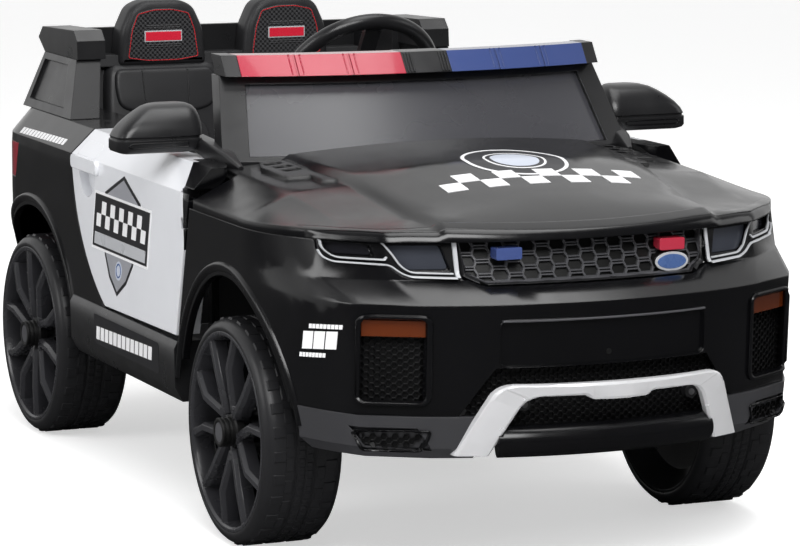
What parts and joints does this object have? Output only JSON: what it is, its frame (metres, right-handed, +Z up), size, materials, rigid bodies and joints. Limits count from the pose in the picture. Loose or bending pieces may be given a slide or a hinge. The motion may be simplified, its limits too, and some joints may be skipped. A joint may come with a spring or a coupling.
{
  "type": "children's ride-on toy police car",
  "caption": "Two-seat children's ride-on police SUV in moulded plastic with opening doors, steering wheel that turns the front wheels, light bar and rolling wheels.",
  "frame": {"origin": "on the floor below the middle of the whole car", "axes": "+Z up, front faces -Y, +X is the car's left side"},
  "size_m": [0.68, 1.1699, 0.5044],
  "materials": {
    "body_black": "gloss",
    "trim_black": "satin",
    "door_white": "gloss",
    "tub_black": "satin",
    "smoked_glass": "gloss",
    "red_lens": "gloss",
    "blue_lens": "gloss",
    "amber_lens": "gloss",
    "lamp_clear": "gloss",
    "bright": "polished",
    "steel": "brushed",
    "tyre_black": "satin",
    "rim_black": "satin",
    "seat_black": "satin",
    "battery_grey": "matte"
  },
  "bodies": {
    "body": {"battery": "battery_grey", "blue_lens": "blue_lens", "bright_trim": "bright", "dashboard": "tub_black", "door_hinges": "trim_black", "fog_lamps": "amber_lens", "fog_meshes": "trim_black", "front_axle": "steel", "front_body": "body_black", "front_lip": "trim_black", "gearboxes": "tub_black", "grille": "trim_black", "grille_lamp_blue": "blue_lens", "grille_lamp_red": "red_lens", "headlamps": "lamp_clear", "headrests": "seat_black", "hood": "body_black", "intake_mesh": "trim_black", "light_bar_base": "trim_black", "mirror_left": "trim_black", "mirror_right": "trim_black", "rear_axle": "steel", "rear_body": "body_black", "rear_pillars": "trim_black", "rear_valance": "trim_black", "red_lens": "red_lens", "seat": "seat_black", "spoiler": "trim_black", "tail_lamps": "red_lens", "tub": "tub_black", "tube_bar": "body_black", "windscreen": "smoked_glass", "windscreen_frame": "trim_black"},
    "steering": {"steering_wheel": "trim_black", "steering_shaft": "steel"},
    "knuckle_right": {"knuckle_right": "steel"},
    "knuckle_left": {"knuckle_left": "steel"},
    "tie_rod": {"tie_rod": "steel"},
    "wheel_front_right": {"tyre_front_right": "tyre_black", "rim_front_right": "rim_black"},
    "wheel_front_left": {"tyre_front_left": "tyre_black", "rim_front_left": "rim_black"},
    "wheel_rear_right": {"tyre_rear_right": "tyre_black", "rim_rear_right": "rim_black"},
    "wheel_rear_left": {"tyre_rear_left": "tyre_black", "rim_rear_left": "rim_black"},
    "door_right": {"door_right": "door_white"},
    "door_left": {"door_left": "door_white"}
  },
  "joints": [
    {"name": "steering_spin", "type": "hinge", "parent": "body", "child": "steering", "pos_m": [0.07, 0.252, 0.42], "axis": [0, 0.8192, 0.5736], "range_deg": [-35, 35]},
    {"name": "steer_right", "type": "hinge", "parent": "body", "child": "knuckle_right", "pos_m": [-0.186, -0.258, 0.1185], "axis": [0, 0, 1], "range_deg": [-22, 22]},
    {"name": "steer_left", "type": "hinge", "parent": "body", "child": "knuckle_left", "pos_m": [0.186, -0.258, 0.1185], "axis": [0, 0, 1], "range_deg": [-22, 22]},
    {"name": "tie_rod_swing", "type": "hinge", "parent": "knuckle_right", "child": "tie_rod", "pos_m": [-0.186, -0.213, 0.0955], "axis": [0, 0, 1], "range_deg": [-22, 22]},
    {"name": "front_wheel_right", "type": "hinge", "parent": "knuckle_right", "child": "wheel_front_right", "pos_m": [-0.25, -0.258, 0.1185], "axis": [1, 0, 0], "continuous": true},
    {"name": "rear_wheel_right", "type": "hinge", "parent": "body", "child": "wheel_rear_right", "pos_m": [-0.25, 0.396, 0.1185], "axis": [1, 0, 0], "continuous": true},
    {"name": "front_wheel_left", "type": "hinge", "parent": "knuckle_left", "child": "wheel_front_left", "pos_m": [0.25, -0.258, 0.1185], "axis": [1, 0, 0], "continuous": true},
    {"name": "rear_wheel_left", "type": "hinge", "parent": "body", "child": "wheel_rear_left", "pos_m": [0.25, 0.396, 0.1185], "axis": [1, 0, 0], "continuous": true},
    {"name": "door_right_hinge", "type": "hinge", "parent": "body", "child": "door_right", "pos_m": [-0.287, -0.132, 0.335], "axis": [0, 0, 1], "range_deg": [0, 50]},
    {"name": "door_left_hinge", "type": "hinge", "parent": "body", "child": "door_left", "pos_m": [0.287, -0.132, 0.335], "axis": [0, 0, 1], "range_deg": [-50, 0]}
  ],
  "couplings": [
    {"joint": "steer_right", "follows": "steering_spin", "ratio": 0.62857},
    {"joint": "steer_left", "follows": "steering_spin", "ratio": 0.62857},
    {"joint": "tie_rod_swing", "follows": "steering_spin", "ratio": -0.62857}
  ]
}
